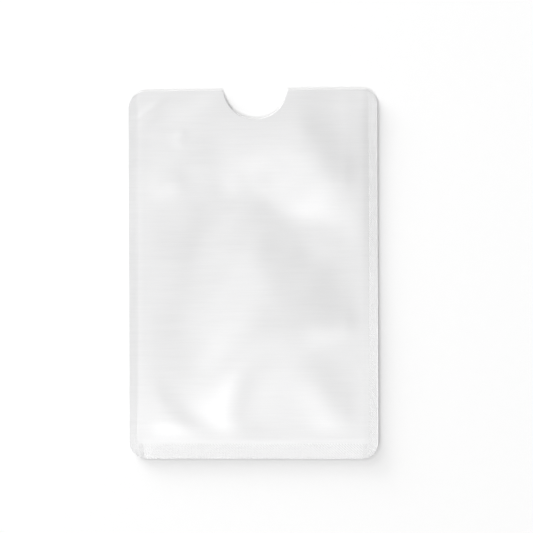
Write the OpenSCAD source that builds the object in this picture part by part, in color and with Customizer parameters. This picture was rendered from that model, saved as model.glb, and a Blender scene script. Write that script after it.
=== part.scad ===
// Shielding sleeve for one payment or access card, lying flat on its back panel.
// Two laminated panels are welded together along both sides and the bottom. The top edge is the mouth.
// X runs across the sleeve, Y runs along it towards the mouth and Z points up, out of the front panel.
// The origin is at the middle of the sleeve, on the surface that it lies on. Lengths are in millimetres.

/* [Card] */
// Width of the card that the pocket takes
card_w = 53.98; // [50:0.01:70]
// Length of the card
card_l = 85.6; // [80:0.1:110]
// Thickness of the card
card_t = 0.76; // [0.7:0.01:1.6]
// Play of the card at each side and at the bottom
card_play = 0.15; // [0.05:0.05:2]
// Room over the card's thickness between the two panels
card_room = 0.15; // [0.05:0.05:1]
// How far the card lies inside the mouth
mouth_margin = 0.25; // [0.1:0.05:5]

/* [Welds] */
// Width of the left side weld
left_weld_w = 2.2; // [1:0.1:5]
// Width of the right side weld
right_weld_w = 2.6; // [1:0.1:5]
// Width of the bottom weld
bottom_weld_w = 3.8; // [1.5:0.1:6]
// Thickness of the weld between the two linings
weld_t = 0.06; // [0.03:0.01:0.2]

/* [Laminate] */
// Thickness of the brushed outer film
film_t = 0.1; // [0.05:0.01:0.2]
// Thickness of the shielding foil
foil_t = 0.03; // [0.02:0.01:0.1]
// Thickness of the inner lining
lining_t = 0.07; // [0.03:0.01:0.2]
// Thickness of the adhesive coat between two layers, which is left as a space
coat_t = 0.01; // [0.005:0.005:0.03]

/* [Pocket] */
// Height of the welds over the surface that the sleeve lies on
edge_lift = 0.7; // [0.1:0.05:0.8]
// Width of the rounded wall over which a panel leaves a weld
wall_w = 1.2; // [0.8:0.1:3]
// Rise of the front panel's crown over the pocket's walls
crown_rise = 0.7; // [0.7:0.05:2]
// Rise of the crown at the middle of the mouth
mouth_rise = 0.5; // [0.4:0.05:2]
// Length over which the crown comes down to the mouth
mouth_fall_l = 32; // [10:1:50]
// Width over which the crown rises from a weld
crown_w = 20; // [10:0.5:22]

/* [Folds] */
// Rise of the highest soft fold over the front panel's crown
fold_rise = 1; // [0.1:0.05:1]
// Half the width of a soft fold of usual width
fold_w = 5; // [4:0.5:5.5]
// Half the length of the longest soft fold
fold_l = 16; // [8:1:18]

/* [Outline] */
// Radius of the four corners
corner_r = 4.2; // [1:0.1:8]
// Width of the thumb notch at the mouth
notch_w = 15.6; // [12:0.2:24]
// Depth of the thumb notch below the mouth
notch_d = 7.2; // [4.5:0.1:9]
// How far the thumb notch lies to the right of the sleeve's middle
notch_shift = 0.5; // [-5:0.1:5]

/* [Hidden] */
$fn = 96;

FILM_COLOUR = [0.90, 0.90, 0.91];
FOIL_COLOUR = [0.75, 0.76, 0.78];
LINING_COLOUR = [0.96, 0.96, 0.95];
WELD_COLOUR = [0.82, 0.82, 0.83];

// The pocket holds the card, its play and the walls, and the welds go round the pocket
pocket_w = card_w + 2 * (card_play + wall_w);
pocket_l = wall_w + card_play + card_l + mouth_margin;
sleeve_w = left_weld_w + pocket_w + right_weld_w;
sleeve_l = bottom_weld_w + pocket_l;

// The pocket's edges, where the welds begin
pocket_left = left_weld_w - sleeve_w / 2;
pocket_right = pocket_left + pocket_w;
pocket_bottom = bottom_weld_w - sleeve_l / 2;
mouth_y = sleeve_l / 2;

// The notch is an arc through both of its corners and its lowest point
notch_r = (notch_w * notch_w / 4 + notch_d * notch_d) / (2 * notch_d);

// Heights of the layers above the back panel's underside, from the back film up to the weld
foil_low = film_t + coat_t;
lining_low = foil_low + foil_t + coat_t;
panel_t = lining_low + lining_t;
weld_low = edge_lift + panel_t;
front_low = weld_low + weld_t;
// The back wall drops by edge_lift, and the front wall rises by the rest of the card's space
wall_rise = card_t + card_room - weld_t - edge_lift;
total_t = front_low + panel_t + wall_rise + crown_rise + mouth_rise + 2 * fold_rise;

// A raw sheet reaches this far past the outline that it is cut to
trim = 1;
// Cells of a raw sheet: over one wall, and between the walls of the front panel
WALL_CELLS = 4;
CELLS_ACROSS = 16;
CELLS_ALONG = 25;

// Soft folds of the front panel, first its crests and then its troughs. Each has its middle as shares of
// half the pocket's width and length, its direction in degrees from X, and its length, width and rise as
// shares of fold_l, fold_w and fold_rise.
FOLDS = [
    [0.04, -0.39, 58, 1.1, 1.6, 1.0],
    [0.50, -0.30, 35, 0.7, 1.1, 0.5],
    [0.68, 0.56, -60, 0.4, 1.3, 0.5],
    [0, 0.85, 0, 1.2, 1.4, 0.4],
    [-0.68, -0.82, -5, 0.4, 0.9, 0.4],
    [0.61, -0.75, -60, 0.5, 1.0, 0.3],
    [-0.26, 0.33, 48, 0.6, 1.2, -0.6],
    [-0.10, 0.12, 60, 0.5, 0.8, -0.2],
    [0.10, 0.43, -45, 0.4, 1.1, -0.4],
    [0.45, 0.24, -12, 0.6, 1.0, -0.4],
    [-0.59, 0.14, -25, 0.4, 1.0, -0.2],
    [-0.52, -0.18, 72, 0.8, 1.1, -0.4],
    [0.10, -0.77, 55, 0.4, 0.8, -0.2]
];

// Rises smoothly from 0 to 1 as t goes from 0 to 1
function ease(t) = let (u = min(1, max(0, t))) u * u * (3 - 2 * u);

// Rises from 0 on the welds to 1 at the given reach into the pocket
function inside(x, y, reach) =
    ease((x - pocket_left) / reach)
    * ease((pocket_right - x) / reach)
    * ease((y - pocket_bottom) / reach);

function crown(y) =
    crown_rise + (mouth_rise - crown_rise) * ease((y - mouth_y + mouth_fall_l) / mouth_fall_l);

function fold(x, y, f) =
    let (
        dx = x - (pocket_left + pocket_right) / 2 - f[0] * pocket_w / 2,
        dy = y - (pocket_bottom + mouth_y) / 2 - f[1] * pocket_l / 2,
        along = (dx * cos(f[2]) + dy * sin(f[2])) / (f[3] * fold_l),
        across = (dy * cos(f[2]) - dx * sin(f[2])) / (f[4] * fold_w)
    )
    f[5] * fold_rise * exp(-along * along - across * across);

function folds(x, y) = [for (f = FOLDS) fold(x, y, f)] * [for (f = FOLDS) 1];

// Undersides of the two panels
front_under = function (x, y)
    front_low + wall_rise * inside(x, y, wall_w) + (crown(y) + folds(x, y)) * inside(x, y, crown_w);
back_under = function (x, y) edge_lift * (1 - inside(x, y, wall_w));

// Grid lines of a raw sheet, with one on each edge of a weld, so that the welds stay flat
function steps(low, high, n) = [for (i = [1:n]) low + (high - low) * i / n];

function lines_across(cells) = concat(
    [-sleeve_w / 2 - trim, pocket_left],
    steps(pocket_left, pocket_left + wall_w, WALL_CELLS),
    steps(pocket_left + wall_w, pocket_right - wall_w, cells),
    steps(pocket_right - wall_w, pocket_right, WALL_CELLS),
    [sleeve_w / 2 + trim]
);

function lines_along(cells) = concat(
    [-sleeve_l / 2 - trim, pocket_bottom],
    steps(pocket_bottom, pocket_bottom + wall_w, WALL_CELLS),
    steps(pocket_bottom + wall_w, mouth_y, cells),
    [mouth_y + trim]
);

// A closed sheet of thickness t whose underside lies low above the given surface
module raw_sheet(xs, ys, under, low, t) {
    nx = len(xs);
    ny = len(ys);
    top = nx * ny;
    points = [for (z = [low, low + t], y = ys, x = xs) [x, y, under(x, y) + z]];
    cells = [for (j = [0:ny - 2], i = [0:nx - 2]) i + j * nx];
    ends = [for (i = [0:nx - 2]) [i, i + (ny - 1) * nx]];
    sides = [for (j = [0:ny - 2]) [j * nx, nx - 1 + j * nx]];
    faces = concat(
        [for (c = cells) each [[c, c + 1, c + nx + 1], [c, c + nx + 1, c + nx]]],
        [for (c = cells) each [
            [top + c, top + c + nx + 1, top + c + 1],
            [top + c, top + c + nx, top + c + nx + 1]
        ]],
        [for (e = ends) each [
            [e[0], top + e[0], top + e[0] + 1, e[0] + 1],
            [e[1], e[1] + 1, top + e[1] + 1, top + e[1]]
        ]],
        [for (e = sides) each [
            [e[0], e[0] + nx, top + e[0] + nx, top + e[0]],
            [e[1], top + e[1], top + e[1] + nx, e[1] + nx]
        ]]
    );
    polyhedron(points, faces, convexity = 6);
}

// The sleeve's outline with its thumb notch
module outline() {
    difference() {
        union() {
            square([sleeve_w - 2 * corner_r, sleeve_l], center = true);
            square([sleeve_w, sleeve_l - 2 * corner_r], center = true);
            for (x = [-1, 1], y = [-1, 1])
                translate([x * (sleeve_w / 2 - corner_r), y * (sleeve_l / 2 - corner_r)])
                    circle(corner_r);
        }
        translate([notch_shift, mouth_y + notch_r - notch_d]) circle(notch_r);
    }
}

// A raw sheet cut to the outline
module cut_to_outline() {
    intersection() {
        children();
        translate([0, 0, -trim]) linear_extrude(total_t + 2 * trim) outline();
    }
}

module front_layer(low, t) {
    cut_to_outline()
        raw_sheet(lines_across(CELLS_ACROSS), lines_along(CELLS_ALONG), front_under, low, t);
}

module back_layer(low, t) {
    cut_to_outline() raw_sheet(lines_across(1), lines_along(1), back_under, low, t);
}

// The part of the weld between two corners of a rectangle
module weld(low_corner, high_corner) {
    translate([0, 0, weld_low])
        linear_extrude(weld_t)
            intersection() {
                outline();
                translate(low_corner) square(high_corner - low_corner);
            }
}

module back_outer_film() {
    color(FILM_COLOUR) back_layer(0, film_t);
}

module back_shield_foil() {
    color(FOIL_COLOUR) back_layer(foil_low, foil_t);
}

module back_inner_lining() {
    color(LINING_COLOUR) back_layer(lining_low, lining_t);
}

module left_heat_seal() {
    color(WELD_COLOUR) weld([-sleeve_w / 2, pocket_bottom], [pocket_left, mouth_y]);
}

module right_heat_seal() {
    color(WELD_COLOUR) weld([pocket_right, pocket_bottom], [sleeve_w / 2, mouth_y]);
}

module bottom_heat_seal() {
    color(WELD_COLOUR) weld([-sleeve_w / 2, -sleeve_l / 2], [sleeve_w / 2, pocket_bottom]);
}

module front_inner_lining() {
    color(LINING_COLOUR) front_layer(0, lining_t);
}

module front_shield_foil() {
    color(FOIL_COLOUR) front_layer(lining_t + coat_t, foil_t);
}

module front_outer_film() {
    color(FILM_COLOUR) front_layer(lining_t + foil_t + 2 * coat_t, film_t);
}

back_outer_film();
back_shield_foil();
back_inner_lining();
left_heat_seal();
right_heat_seal();
bottom_heat_seal();
front_inner_lining();
front_shield_foil();
front_outer_film();
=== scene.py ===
"""Shielding card sleeve, lying empty on a white table, seen from straight above.

The panels are built layer by layer on one grid: brushed film, foil and lining of the back, the welds, then
lining, foil and brushed film of the front. Positions on the sleeve are in millimetres, in the CAD's frame.
"""
import math

import bpy
import numpy as np
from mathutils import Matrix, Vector


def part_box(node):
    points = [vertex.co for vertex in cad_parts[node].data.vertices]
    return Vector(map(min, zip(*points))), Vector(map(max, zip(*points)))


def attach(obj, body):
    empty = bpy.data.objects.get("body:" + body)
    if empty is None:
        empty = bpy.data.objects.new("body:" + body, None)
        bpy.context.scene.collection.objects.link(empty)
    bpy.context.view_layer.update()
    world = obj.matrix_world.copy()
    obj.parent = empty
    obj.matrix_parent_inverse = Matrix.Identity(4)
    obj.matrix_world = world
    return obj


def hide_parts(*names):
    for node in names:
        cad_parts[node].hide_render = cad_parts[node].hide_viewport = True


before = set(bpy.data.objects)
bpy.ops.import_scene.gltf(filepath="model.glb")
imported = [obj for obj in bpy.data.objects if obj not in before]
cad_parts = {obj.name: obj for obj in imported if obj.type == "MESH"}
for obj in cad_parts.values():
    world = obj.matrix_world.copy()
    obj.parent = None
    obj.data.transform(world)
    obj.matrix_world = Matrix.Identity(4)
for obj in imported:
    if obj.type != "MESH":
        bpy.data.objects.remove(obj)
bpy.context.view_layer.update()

# A millimetre in the frame's metres
MM = 0.001
BODY = "root"


# Sizes that the frame gives

def lowest(node):
    """Lowest corner of a CAD node, in millimetres."""
    return np.array(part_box(node)[0]) / MM


def highest(node):
    """Highest corner of a CAD node, in millimetres."""
    return np.array(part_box(node)[1]) / MM


HALF_W, MOUTH_Y = highest("front_outer_film")[:2]
POCKET_LEFT = highest("left_heat_seal")[0]
POCKET_RIGHT = lowest("right_heat_seal")[0]
POCKET_BOTTOM = highest("bottom_heat_seal")[1]
WELD_LOW = lowest("left_heat_seal")[2]
WELD_T = highest("left_heat_seal")[2] - WELD_LOW

# Layers of a panel, and the coat of adhesive between them
FILM_T = 0.10
FOIL_T = 0.03
LINING_T = 0.07
COAT_T = 0.01
PANEL_T = FILM_T + FOIL_T + LINING_T + 2 * COAT_T
# Height of the sleeve's underside over the table at the welds
EDGE_LIFT = WELD_LOW - PANEL_T

# The pocket's walls beside the welds, and the front panel's broad crown: the width and rise of each. The
# back panel comes down to the table over the same width of wall.
WALL_W = 1.2
WALL_RISE = 0.02
CROWN_W = 24
CROWN_RISE = 0.05
# Width over which the folds rise from a weld
FOLD_W = 6

# Radii of the corners, which the die cut a little unlike each other. The keys are the side, -1 for left and
# 1 for right, and the end, -1 for the bottom and 1 for the mouth.
CORNER_R = {(-1, -1): 4.2, (1, -1): 4.4, (-1, 1): 4.5, (1, 1): 3.8}
# The thumb notch: its middle, width and depth, and the radius of its arc
NOTCH_X = 0.5
NOTCH_W = 15.6
NOTCH_D = 7.2
NOTCH_R = (NOTCH_W ** 2 / 4 + NOTCH_D ** 2) / (2 * NOTCH_D)
# The grid gives way to the notch over this length below the mouth
NOTCH_REACH = 14
# The left side is cut this much shorter than the right side
CUT_SKEW = 0.5
# The cut rolls the edge down over this width, by this much at the right side and at the mouth
ROLL_W = 0.2
RIGHT_ROLL = 0.2
MOUTH_ROLL = 0.03

# Folds of the front panel. Each is a soft ridge: its middle, its direction in degrees from X, half its
# length, its width on the left and on the right of that direction, and its height, below 0 for a hollow.
FOLDS = [
    (0.5, -15, 58, 19, 7.5, 8, 1.0),
    (12.5, -12, 35, 10, 6.5, 5.5, 0.38),
    (6, -7, 60, 8, 5, 5.5, -0.24),
    (13, 8, -45, 8, 4, 4, -0.13),
    (-1, -29, 70, 8, 5, 6.5, -0.06),
    (4, -2, -45, 9, 4, 4, 0.1),
    (9, 6, -15, 7, 4, 4, -0.3),
    (-7.5, 16.5, 48, 10, 6, 6, -0.6),
    (2.5, 20.5, -45, 7, 6.5, 5, -0.38),
    (12.5, 12.5, -12, 11, 5, 6, -0.42),
    (-17, 9, -25, 6, 4.5, 5, -0.16),
    (-15, -6, 72, 14, 5.5, 5.5, -0.36),
    (-9, -2, 70, 7, 4, 4, -0.13),
    (17.5, 26.5, -60, 7, 6.5, 6.5, 0.47),
    (-22, -34, -45, 10, 4.5, 7, 0.24),
    (-6.5, -31, 84, 9, 4, 6.5, 0.12),
    (-0.5, -33.5, 82, 9, 4.5, 7, -0.15),
    (17, -30, -60, 8, 5, 5, 0.23),
    (0, 39, 0, 21, 8, 9, 0.42),
    (16, 46, 0, 9, 5, 6, 0.25),
    (11, 33, 60, 5, 4, 4, 0.12),
    (-16, 30, 50, 7, 4, 4, 0.12),
    (-22, 22.5, 10, 5, 3, 3.5, 0.2),
    (-18, 41.5, 25, 8, 3, 3, -0.18),
    (-1, 22, 0, 5, 3.5, 3.5, 0.16),
    (13, 36, -70, 6, 4, 4, 0.1),
    (-3, 7, 60, 9, 4, 4, -0.2),
    (14, -3, 45, 6, 3.5, 3.5, 0.08),
    (-13, -18, 60, 7, 4, 4, -0.15),
    (-13, -36, -20, 6, 3.5, 3.5, -0.1),
    (20, -13, 15, 7, 3, 3, 0.13),
    (-17, 27, 10, 7, 4, 4, 0.13),
    (-18, 33.5, 60, 2, 1.6, 1.6, 0.1),
]

# Small creases that run on over the welds, in the same form as the folds
CREASES = [
    (-26.5, 39.3, 36, 5.5, 1.4, 1.4, 0.15),
]

# The outer edge of the left weld stands this much higher than its inner edge
LEFT_CURL = 0.22
# Places where the sleeve's edge stands higher or lower than its level height: the place, its reach along X
# and Y, and how much higher
LIFTS = [
    (31.2, -20, 2.6, 14, 0.13),
    (-33, -43, 5, 10, -0.6),
    (-33, 17, 5, 8, -0.25),
    (31, -45, 5, 7, 0.12),
    (33, 20, 3.5, 26, -0.3),
    (26, 36, 4, 18, 0.2),
    (31, 49, 8, 8, 0.5),
]

# The knurl that the welding bars press into both faces: the size of its cells, and its depth
KNURL_CELL = 0.3
KNURL_DEPTH = 0.04
# The grid's cells over the pocket's walls, across the pocket and over the rolled edge
WALL_CELL = 0.2
POCKET_CELL = 0.36
ROLL_CELL = 0.07
# The inner layers and the smooth faces take every third line of the grid
COARSE = 3


# The sleeve's surfaces

def ease(t):
    """Rises smoothly from 0 to 1 as t goes from 0 to 1."""
    u = np.clip(t, 0, 1)
    return u * u * (3 - 2 * u)


def inside(x, y, reach):
    """Rises from 0 on the welds to 1 at the given reach into the pocket."""
    sides = ease((x - POCKET_LEFT) / reach) * ease((POCKET_RIGHT - x) / reach)
    return sides * ease((y - POCKET_BOTTOM) / reach)


def ridge(x, y, fold):
    """Height of one soft fold over the points."""
    middle_x, middle_y, direction, half_l, left_w, right_w, rise = fold
    turn = math.radians(direction)
    dx, dy = x - middle_x, y - middle_y
    along = (dx * math.cos(turn) + dy * math.sin(turn)) / half_l
    across = dy * math.cos(turn) - dx * math.sin(turn)
    width = np.where(across > 0, left_w, right_w)
    return rise * np.exp(-np.abs(along) ** 3 - (across / width) ** 2)


def lift(x, y):
    """How far the curl, the lifts and the creases raise the sleeve over the points."""
    total = LEFT_CURL * np.clip((POCKET_LEFT - x) / (POCKET_LEFT + HALF_W), 0, 1)
    for at_x, at_y, reach_x, reach_y, rise in LIFTS:
        total = total + rise * np.exp(-((x - at_x) / reach_x) ** 2 - ((y - at_y) / reach_y) ** 2)
    return total + sum(ridge(x, y, crease) for crease in CREASES)


def back_under(x, y):
    """Underside of the back panel, which lies on the table inside the pocket's walls."""
    return (EDGE_LIFT + lift(x, y)) * (1 - inside(x, y, WALL_W))


def front_under(x, y):
    """Underside of the front panel, with its walls, crown and folds."""
    folds = sum(ridge(x, y, fold) for fold in FOLDS)
    level = EDGE_LIFT + PANEL_T + WELD_T + lift(x, y)
    pillow = WALL_RISE * inside(x, y, WALL_W) + CROWN_RISE * inside(x, y, CROWN_W)
    return level + pillow + folds * inside(x, y, FOLD_W)


# The grid on which every layer is built

def cells(length, size):
    """A whole number of coarse steps of cells near the given size."""
    return COARSE * max(1, round(length / size / COARSE))


def lines(*stretches):
    """Grid lines over stretches that follow each other, each with its two ends and its cell size."""
    parts = [np.linspace(low, high, cells(high - low, size) + 1)[:-1] for low, high, size in stretches]
    return np.concatenate(parts + [[stretches[-1][1]]])


ACROSS = lines(
    (-HALF_W, POCKET_LEFT, KNURL_CELL),
    (POCKET_LEFT, POCKET_LEFT + WALL_W, WALL_CELL),
    (POCKET_LEFT + WALL_W, POCKET_RIGHT - WALL_W, POCKET_CELL),
    (POCKET_RIGHT - WALL_W, POCKET_RIGHT, WALL_CELL),
    (POCKET_RIGHT, HALF_W - ROLL_W, KNURL_CELL),
    (HALF_W - ROLL_W, HALF_W, ROLL_CELL),
)
# The side welds run along the pocket, so the knurl's cells do too
ALONG = lines(
    (-MOUTH_Y, POCKET_BOTTOM, KNURL_CELL),
    (POCKET_BOTTOM, POCKET_BOTTOM + WALL_W, WALL_CELL),
    (POCKET_BOTTOM + WALL_W, MOUTH_Y - ROLL_W, KNURL_CELL),
    (MOUTH_Y - ROLL_W, MOUTH_Y, ROLL_CELL),
)
LAST_COLUMN = len(ACROSS) - 1
LAST_ROW = len(ALONG) - 1
# The grid lines at which the rolled edge starts, and those at the inner edges of the welds
RIGHT_ROLL_LINE = LAST_COLUMN - cells(ROLL_W, ROLL_CELL)
MOUTH_ROLL_LINE = LAST_ROW - cells(ROLL_W, ROLL_CELL)
LEFT_BAND = cells(POCKET_LEFT + HALF_W, KNURL_CELL)
RIGHT_BAND = RIGHT_ROLL_LINE - cells(HALF_W - ROLL_W - POCKET_RIGHT, KNURL_CELL)
BOTTOM_BAND = cells(POCKET_BOTTOM + MOUTH_Y, KNURL_CELL)


def round_corners(x, y):
    """Draws the square corners of the grid in to the rounded corners of the outline."""
    for (side, end), r in CORNER_R.items():
        u = (side * x - HALF_W + r) / r
        v = (end * y - MOUTH_Y + r) / r
        there = (u > 0) & (v > 0)
        drawn_u = u * np.sqrt(1 - np.where(there, v, 0) ** 2 / 2)
        drawn_v = v * np.sqrt(1 - np.where(there, u, 0) ** 2 / 2)
        x = np.where(there, side * (HALF_W - r + r * drawn_u), x)
        y = np.where(there, end * (MOUTH_Y - r + r * drawn_v), y)
    return x, y


def cut_notch(x, y):
    """Draws the mouth's edge down to the thumb notch, and the grid below it with it."""
    off = np.minimum(np.abs(x - NOTCH_X), NOTCH_R)
    arc = MOUTH_Y + NOTCH_R - NOTCH_D - np.sqrt(NOTCH_R ** 2 - off ** 2)
    edge = np.where(off < NOTCH_W / 2, np.minimum(arc, MOUTH_Y), MOUTH_Y)
    start = MOUTH_Y - NOTCH_REACH
    return np.where(y > start, start + (y - start) * (edge - start) / NOTCH_REACH, y)


def outline_grid(columns, rows):
    """Points of the sheet's grid, as two arrays of rows by columns, inside the cut outline."""
    x, y = np.meshgrid(ACROSS[columns], ALONG[rows])
    x, y = round_corners(x, y)
    y = cut_notch(x, y)
    share = (x + HALF_W) / (2 * HALF_W)
    return x, y * (1 - CUT_SKEW * (1 - share) / (2 * MOUTH_Y))


def knurl(columns, rows):
    """The pressed knurl: its height over the points of the grid, and which points lie in its bands.

    Its raised lines cross on the slant, with a pit in each cell, and each band has a plain rim.
    """
    i, j = np.meshgrid(columns, rows)
    band = (i <= LEFT_BAND) | (i >= RIGHT_BAND) | (j <= BOTTOM_BAND)
    band &= (i <= RIGHT_ROLL_LINE) & (j <= MOUTH_ROLL_LINE)
    rim = (i == LEFT_BAND) | (i == RIGHT_BAND)
    rim |= (j == BOTTOM_BAND) & (i > LEFT_BAND) & (i < RIGHT_BAND)
    rim |= (i == RIGHT_ROLL_LINE) | (j == MOUTH_ROLL_LINE)
    pit = (i + j) % 2 == 1
    return -KNURL_DEPTH * (band & ~rim & pit), band


def roll(columns, rows):
    """How far the cut edge rolls down over the points of the grid."""
    i, j = np.meshgrid(columns, rows)
    right = np.maximum(i - RIGHT_ROLL_LINE, 0) / (LAST_COLUMN - RIGHT_ROLL_LINE)
    mouth = np.maximum(j - MOUTH_ROLL_LINE, 0) / (LAST_ROW - MOUTH_ROLL_LINE)
    return RIGHT_ROLL * right + MOUTH_ROLL * mouth


# Closed sheets

def strip(fine, coarse, step):
    """Faces that join a finely divided edge to the coarse edge beside it."""
    if step == 1:
        return [(fine[k], fine[k + 1], coarse[k + 1], coarse[k]) for k in range(len(coarse) - 1)]
    faces = []
    middle = step // 2
    for k in range(len(coarse) - 1):
        near = fine[k * step:(k + 1) * step + 1]
        a, b = coarse[k], coarse[k + 1]
        faces += [(near[s], near[s + 1], a) for s in range(middle)]
        faces.append((near[middle], b, a))
        faces += [(near[s], near[s + 1], b) for s in range(middle, step)]
    return faces


def border(index):
    """The indices round a grid of points, run with the grid's surface on the left."""
    return [*index[0, :], *index[1:, -1], *index[-1, -2::-1], *index[-2::-1, 0]]


def grid_faces(index, split):
    """Faces over a grid of points, and for each whether it is a flat facet of the knurl.

    A cell is a quad, or where split is set, two triangles on the raised diagonal.
    """
    faces, flat = [], []
    for j in range(index.shape[0] - 1):
        for i in range(index.shape[1] - 1):
            a, b, c, d = index[j, i], index[j, i + 1], index[j + 1, i + 1], index[j + 1, i]
            if not split[j, i]:
                faces.append((a, b, c, d))
                flat.append(False)
            elif (i + j) % 2 == 0:
                faces += [(a, b, c), (a, c, d)]
                flat += [True, True]
            else:
                faces += [(a, b, d), (b, c, d)]
                flat += [True, True]
    return faces, flat


def face_points(under, height, columns, rows, press):
    """One face of a sheet: the points of its grid, and which of its cells are split for the knurl.

    press is 1 on a knurled top, -1 on a knurled underside and 0 on a smooth face. No point goes below the
    table.
    """
    step = 1 if press else COARSE
    columns, rows = columns[::step], rows[::step]
    x, y = outline_grid(columns, rows)
    z = np.maximum(under(x, y) + height - roll(columns, rows), 0)
    split = np.zeros((len(rows) - 1, len(columns) - 1), bool)
    if press:
        pressed, band = knurl(columns, rows)
        z = z + press * pressed
        split = band[:-1, :-1] & band[1:, 1:] & band[:-1, 1:] & band[1:, :-1]
    return np.stack([x, y, z], axis=-1), split


def sheet(name, under, low, thick, columns=(0, LAST_COLUMN), rows=(0, LAST_ROW), knurled=None):
    """A closed sheet between two parallel surfaces. knurled names its fine outer face, top or bottom."""
    columns = np.arange(columns[0], columns[1] + 1)
    rows = np.arange(rows[0], rows[1] + 1)
    bottom, bottom_split = face_points(under, low, columns, rows, -1 if knurled == "bottom" else 0)
    top, top_split = face_points(under, low + thick, columns, rows, 1 if knurled == "top" else 0)
    bottom_index = np.arange(bottom[..., 0].size).reshape(bottom.shape[:2])
    top_index = bottom_index.size + np.arange(top[..., 0].size).reshape(top.shape[:2])
    top_edge, bottom_edge = border(top_index), border(bottom_index)
    if knurled == "bottom":
        rim = strip(bottom_edge, top_edge, COARSE)
    else:
        rim = [face[::-1] for face in strip(top_edge, bottom_edge, COARSE if knurled else 1)]
    top_faces, top_flat = grid_faces(top_index, top_split)
    bottom_faces, bottom_flat = grid_faces(bottom_index, bottom_split)
    broad_faces = top_faces + [face[::-1] for face in bottom_faces]
    flat = np.array(top_flat + bottom_flat + [True] * len(rim))
    points = np.concatenate([bottom.reshape(-1, 3), top.reshape(-1, 3)]) * MM
    mesh = bpy.data.meshes.new(name)
    mesh.from_pydata(points.tolist(), [], broad_faces + rim)
    mesh.polygons.foreach_set("use_smooth", ~flat)
    lay_out(mesh, len(broad_faces))
    mesh.update()
    piece = bpy.data.objects.new(name, mesh)
    bpy.context.scene.collection.objects.link(piece)
    return piece


# Where a sheet lies in the square of its baked finish: the width of a face, the middle of its top, how far
# the underside is to the right of that, and the strip for the cut edge
FACE_WIDTH = 0.48
TOP_MIDDLE = (0.25, 0.38)
UNDER_SHIFT = 0.5
EDGE_START = 0.02
EDGE_LENGTH = 0.96
EDGE_LEVEL = 0.85


def read(items, name, size=1, kind=float):
    """One property of a mesh's points, faces or corners, as one row of numbers."""
    values = np.zeros(len(items) * size, kind)
    items.foreach_get(name, values)
    return values


def lay_out(mesh, rim_start):
    """Lays the sheet flat for its baked finish. The faces from rim_start on are its cut edge."""
    corners = read(mesh.loops, "vertex_index", kind=int)
    x, y, z = read(mesh.vertices, "co", 3).reshape(-1, 3)[corners].T / MM
    upward = read(mesh.polygons, "normal", 3).reshape(-1, 3)[:, 2] > 0
    faces = np.repeat(np.arange(len(mesh.polygons)), read(mesh.polygons, "loop_total", kind=int))
    rim = faces >= rim_start
    scale = FACE_WIDTH / (2 * HALF_W)
    around = (x + y) / (2 * (HALF_W + MOUTH_Y)) + 0.5
    u = TOP_MIDDLE[0] + x * scale + np.where(upward[faces], 0, UNDER_SHIFT)
    v = TOP_MIDDLE[1] + y * scale
    u = np.where(rim, EDGE_START + EDGE_LENGTH * around, u)
    v = np.where(rim, EDGE_LEVEL + z * scale, v)
    uv = mesh.uv_layers.new(name="OFBake")
    uv.data.foreach_set("uv", np.stack([u, v], axis=-1).ravel())


# Shader maths

class Value:
    """A shader's value. Plain arithmetic on it adds Math nodes."""

    def __init__(self, finish, socket):
        self.finish = finish
        self.socket = socket

    def _math(self, operation, first, second):
        return self.finish.add("Math", {"operation": operation}, {0: first, 1: second})

    def __add__(self, other):
        return self._math("ADD", self, other)

    def __radd__(self, other):
        return self._math("ADD", other, self)

    def __mul__(self, other):
        return self._math("MULTIPLY", self, other)

    def __rmul__(self, other):
        return self._math("MULTIPLY", other, self)


class Finish:
    """A material that is built up node by node."""

    def __init__(self, name):
        self.material = bpy.data.materials.new(name)
        self.material.use_nodes = True
        self.tree = self.material.node_tree
        self.tree.nodes.clear()

    def node(self, kind, settings=None, sockets=None):
        """Adds a node, with its settings first and then its sockets' values or links."""
        node = self.tree.nodes.new("ShaderNode" + kind)
        for key, value in (settings or {}).items():
            setattr(node, key, value)
        for key, value in (sockets or {}).items():
            if isinstance(value, Value):
                self.tree.links.new(value.socket, node.inputs[key])
            else:
                node.inputs[key].default_value = value
        return node

    def add(self, kind, settings=None, sockets=None, output=0):
        """Adds a node and gives the value of one of its outputs."""
        return Value(self, self.node(kind, settings, sockets).outputs[output])

    def at(self, *per_mm):
        """The place on the sleeve in cells of a pattern, so many of them per millimetre of X, Y and Z."""
        place = self.add("TexCoord", output="Object")
        return self.add("VectorMath", {"operation": "MULTIPLY"}, {0: place, 1: [n / MM for n in per_mm]})

    def noise(self, at, detail=2.0):
        """Cloudy noise from 0 to 1, one cloud to a cell of the pattern."""
        return self.add("TexNoise", None, {"Vector": at, "Scale": 1.0, "Detail": detail})

    def tint(self, share, first, second):
        """A colour between two others. The Mix node has its colours at inputs 6 and 7 and at output 2."""
        sockets = {0: share, 6: (*first, 1), 7: (*second, 1)}
        return self.add("Mix", {"data_type": "RGBA"}, sockets, output=2)

    def bump(self, height, depth):
        """A normal raised by the height, whose 1 stands for the depth in millimetres."""
        return self.add("Bump", None, {"Height": height, "Distance": depth * MM, "Strength": 1.0})

    def surface(self, **sockets):
        """The Principled surface and the material's output."""
        named = {key.replace("_", " "): value for key, value in sockets.items()}
        shader = self.add("BsdfPrincipled", None, named)
        self.node("OutputMaterial", None, {"Surface": shader})
        return self.material


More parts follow.
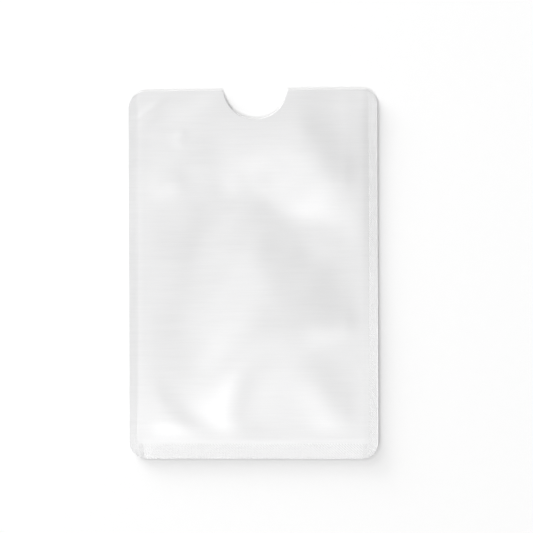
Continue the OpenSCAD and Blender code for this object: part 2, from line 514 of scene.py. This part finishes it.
def brushed_film():
    """Satin metallised film, brushed across the sleeve in short fine streaks."""
    finish = Finish("brushed_film")
    fine = finish.noise(finish.at(0.12, 3.2, 0), detail=1.0)
    broad = finish.noise(finish.at(0.05, 1.1, 0.3))
    cloud = finish.noise(finish.at(0.06, 0.05, 0.05))
    streak = fine * 0.6 + broad * 0.4
    shade = streak * 0.8 + cloud * 0.2
    return finish.surface(
        Base_Color=finish.tint(shade, (0.828, 0.828, 0.832), (0.93, 0.93, 0.932)),
        Metallic=0.3,
        Roughness=streak * 0.1 + 0.37,
        Normal=finish.bump(streak, 0.004),
    )


def bare_foil():
    """Aluminium foil, which shows only at the cut edges."""
    finish = Finish("bare_foil")
    rolled = finish.noise(finish.at(2.5, 0.2, 2.5))
    return finish.surface(
        Base_Color=finish.tint(rolled, (0.70, 0.71, 0.73), (0.82, 0.83, 0.85)),
        Metallic=1.0,
        Roughness=rolled * 0.1 + 0.22,
    )


def matt_lining():
    """White sealable lining, faintly grained."""
    finish = Finish("matt_lining")
    grain = finish.noise(finish.at(3, 3, 3), detail=3.0)
    return finish.surface(
        Base_Color=finish.tint(grain, (0.80, 0.80, 0.79), (0.88, 0.88, 0.87)),
        Roughness=grain * 0.1 + 0.5,
        Normal=finish.bump(grain, 0.006),
    )


def fused_lining():
    """Lining that the welding bars have melted together."""
    finish = Finish("fused_lining")
    grain = finish.noise(finish.at(1.5, 1.5, 4))
    return finish.surface(
        Base_Color=finish.tint(grain, (0.74, 0.74, 0.74), (0.84, 0.84, 0.84)),
        Roughness=grain * 0.15 + 0.3,
    )


# How much of the table's white is its own, so that it stays white round the shadow
TABLE_GLOW = 0.12


def white_table():
    """The table, which shows as plain white where no shadow falls on it."""
    finish = Finish("white_table")
    camera = finish.add("LightPath", output="Is Camera Ray")
    glossy = finish.add("LightPath", output="Is Glossy Ray")
    through = finish.add("LightPath", output="Is Transmission Ray")
    grain = finish.noise(finish.at(0.4, 0.4, 0.4))
    return finish.surface(
        Base_Color=finish.tint(grain, (0.94, 0.94, 0.94), (0.96, 0.96, 0.96)),
        Roughness=0.7,
        Emission_Color=finish.tint(camera + glossy + through, (0, 0, 0), (TABLE_GLOW,) * 3),
        Emission_Strength=1.0,
    )


# The pieces

FILM = brushed_film()
FOIL = bare_foil()
LINING = matt_lining()
FUSED = fused_lining()
# Each layer: its piece, the node it replaces, its slot and its finish, then its panel's underside, its
# height over that, its thickness, and which of its faces is knurled
LAYERS = [
    ("back_film", "back_outer_film", "outer_film", FILM,
     back_under, 0, FILM_T, "bottom"),
    ("back_foil", "back_shield_foil", "shield_foil", FOIL,
     back_under, FILM_T + COAT_T, FOIL_T, None),
    ("back_lining", "back_inner_lining", "inner_lining", LINING,
     back_under, PANEL_T - LINING_T, LINING_T, None),
    ("front_lining", "front_inner_lining", "inner_lining", LINING,
     front_under, 0, LINING_T, None),
    ("front_foil", "front_shield_foil", "shield_foil", FOIL,
     front_under, LINING_T + COAT_T, FOIL_T, None),
    ("front_film", "front_outer_film", "outer_film", FILM,
     front_under, PANEL_T - FILM_T, FILM_T, "top"),
]
# Each weld: its piece, the node it replaces, and the columns and rows of the grid that it fills
WELDS = [
    ("left_weld", "left_heat_seal", (0, LEFT_BAND), (BOTTOM_BAND, LAST_ROW)),
    ("right_weld", "right_heat_seal", (RIGHT_BAND, LAST_COLUMN), (BOTTOM_BAND, LAST_ROW)),
    ("bottom_weld", "bottom_heat_seal", (0, LAST_COLUMN), (0, BOTTOM_BAND)),
]


def dress(piece, node, material):
    """Gives a piece its finish and its place in the frame."""
    piece.data.materials.append(material)
    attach(piece, BODY)
    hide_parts(node)


for name, node, slot, material, under, low, thick, knurled in LAYERS:
    layer = sheet(name, under, low, thick, knurled=knurled)
    dress(layer, node, material)
for name, node, columns, rows in WELDS:
    weld = sheet(name, back_under, PANEL_T, WELD_T, columns, rows)
    dress(weld, node, FUSED)


# The table, the light and the camera

# The table's side in metres, and its level in millimetres, a hair below the sleeve that rests on it
TABLE_SIZE = 4.0
TABLE_LEVEL = -0.02

# Each softbox: its name, then its azimuth, its elevation, and how wide and how high the sleeve sees it, all
# in degrees, then its share of full light, and whether the film mirrors it. One that it doesn't mirror gives
# light and shadow, and no glare.
LAMPS = [
    ("gloss", 260, 68, 20, 20, 0.263, True),
    ("key", 140, 58, 14, 14, 0.13, True),
    ("middle", 128, 24, 45, 28, 0.15, False),
    ("low", 128, 8.5, 50, 13, 0.11, False),
]
# The softboxes' distance in metres, and the strength of the sky
LAMP_DISTANCE = 2.0
SKY = 0.315

# The photograph's side and the sleeve's middle in it, in its pixels, and its scale
PHOTO_SIDE = 533
SLEEVE_PX = (253.7, 274.35)
MM_PER_PIXEL = 0.2466
# The camera: its height over the table and how near and far it sees, in metres, its turn about its own
# axis, and the width of its sensor in millimetres
CAMERA_HEIGHT = 0.9
CAMERA_NEAR = 0.01
CAMERA_FAR = 10
CAMERA_ROLL = math.radians(-0.2)
SENSOR = 36


def lay_table():
    """A broad level table under the sleeve."""
    half = TABLE_SIZE / 2
    level = TABLE_LEVEL * MM
    corners = [(-half, -half, level), (half, -half, level), (half, half, level), (-half, half, level)]
    mesh = bpy.data.meshes.new("table")
    mesh.from_pydata(corners, [], [(0, 1, 2, 3)])
    table = bpy.data.objects.new("table", mesh)
    table.data.materials.append(white_table())
    bpy.context.scene.collection.objects.link(table)


def soft_lamp(name, azimuth, elevation, wide, high, share, mirrored):
    """A softbox that is turned to the sleeve."""
    turn, rise = math.radians(azimuth), math.radians(elevation)
    toward = Vector((math.cos(turn) * math.cos(rise), math.sin(turn) * math.cos(rise), math.sin(rise)))
    light = bpy.data.lights.new(name, "AREA")
    light.shape = "ELLIPSE"
    light.size = 2 * LAMP_DISTANCE * math.tan(math.radians(wide / 2))
    light.size_y = 2 * LAMP_DISTANCE * math.tan(math.radians(high / 2))
    # Light of power P from straight above lights the sleeve by P / (pi * distance) ** 2, and full light is 1
    light.energy = share * math.pi ** 2 * LAMP_DISTANCE ** 2 / math.sin(rise)
    lamp = bpy.data.objects.new(name, light)
    lamp.visible_glossy = mirrored
    lamp.location = toward * LAMP_DISTANCE
    lamp.rotation_euler = (-lamp.location).to_track_quat("-Z", "Y").to_euler()
    bpy.context.scene.collection.objects.link(lamp)


def set_sky(strength):
    """An even pale surround."""
    world = bpy.data.worlds.new("surround")
    bpy.context.scene.world = world
    world.use_nodes = True
    background = world.node_tree.nodes["Background"]
    background.inputs["Color"].default_value = (1, 1, 1, 1)
    background.inputs["Strength"].default_value = strength


def set_camera():
    """The photograph's camera, straight above, a little right of the sleeve's middle."""
    across = (PHOTO_SIDE / 2 - SLEEVE_PX[0]) * MM_PER_PIXEL * MM
    along = (SLEEVE_PX[1] - PHOTO_SIDE / 2) * MM_PER_PIXEL * MM
    lens = bpy.data.cameras.new("camera")
    lens.sensor_width = SENSOR
    lens.lens = SENSOR * CAMERA_HEIGHT / (PHOTO_SIDE * MM_PER_PIXEL * MM)
    lens.clip_start = CAMERA_NEAR
    lens.clip_end = CAMERA_FAR
    camera = bpy.data.objects.new("camera", lens)
    camera.location = (across, along, CAMERA_HEIGHT)
    camera.rotation_euler = (0, 0, CAMERA_ROLL)
    bpy.context.scene.collection.objects.link(camera)
    bpy.context.scene.camera = camera


lay_table()
for lamp_row in LAMPS:
    soft_lamp(*lamp_row)
set_sky(SKY)
set_camera()
bpy.context.scene.view_settings.view_transform = "Standard"

bpy.context.view_layer.update()
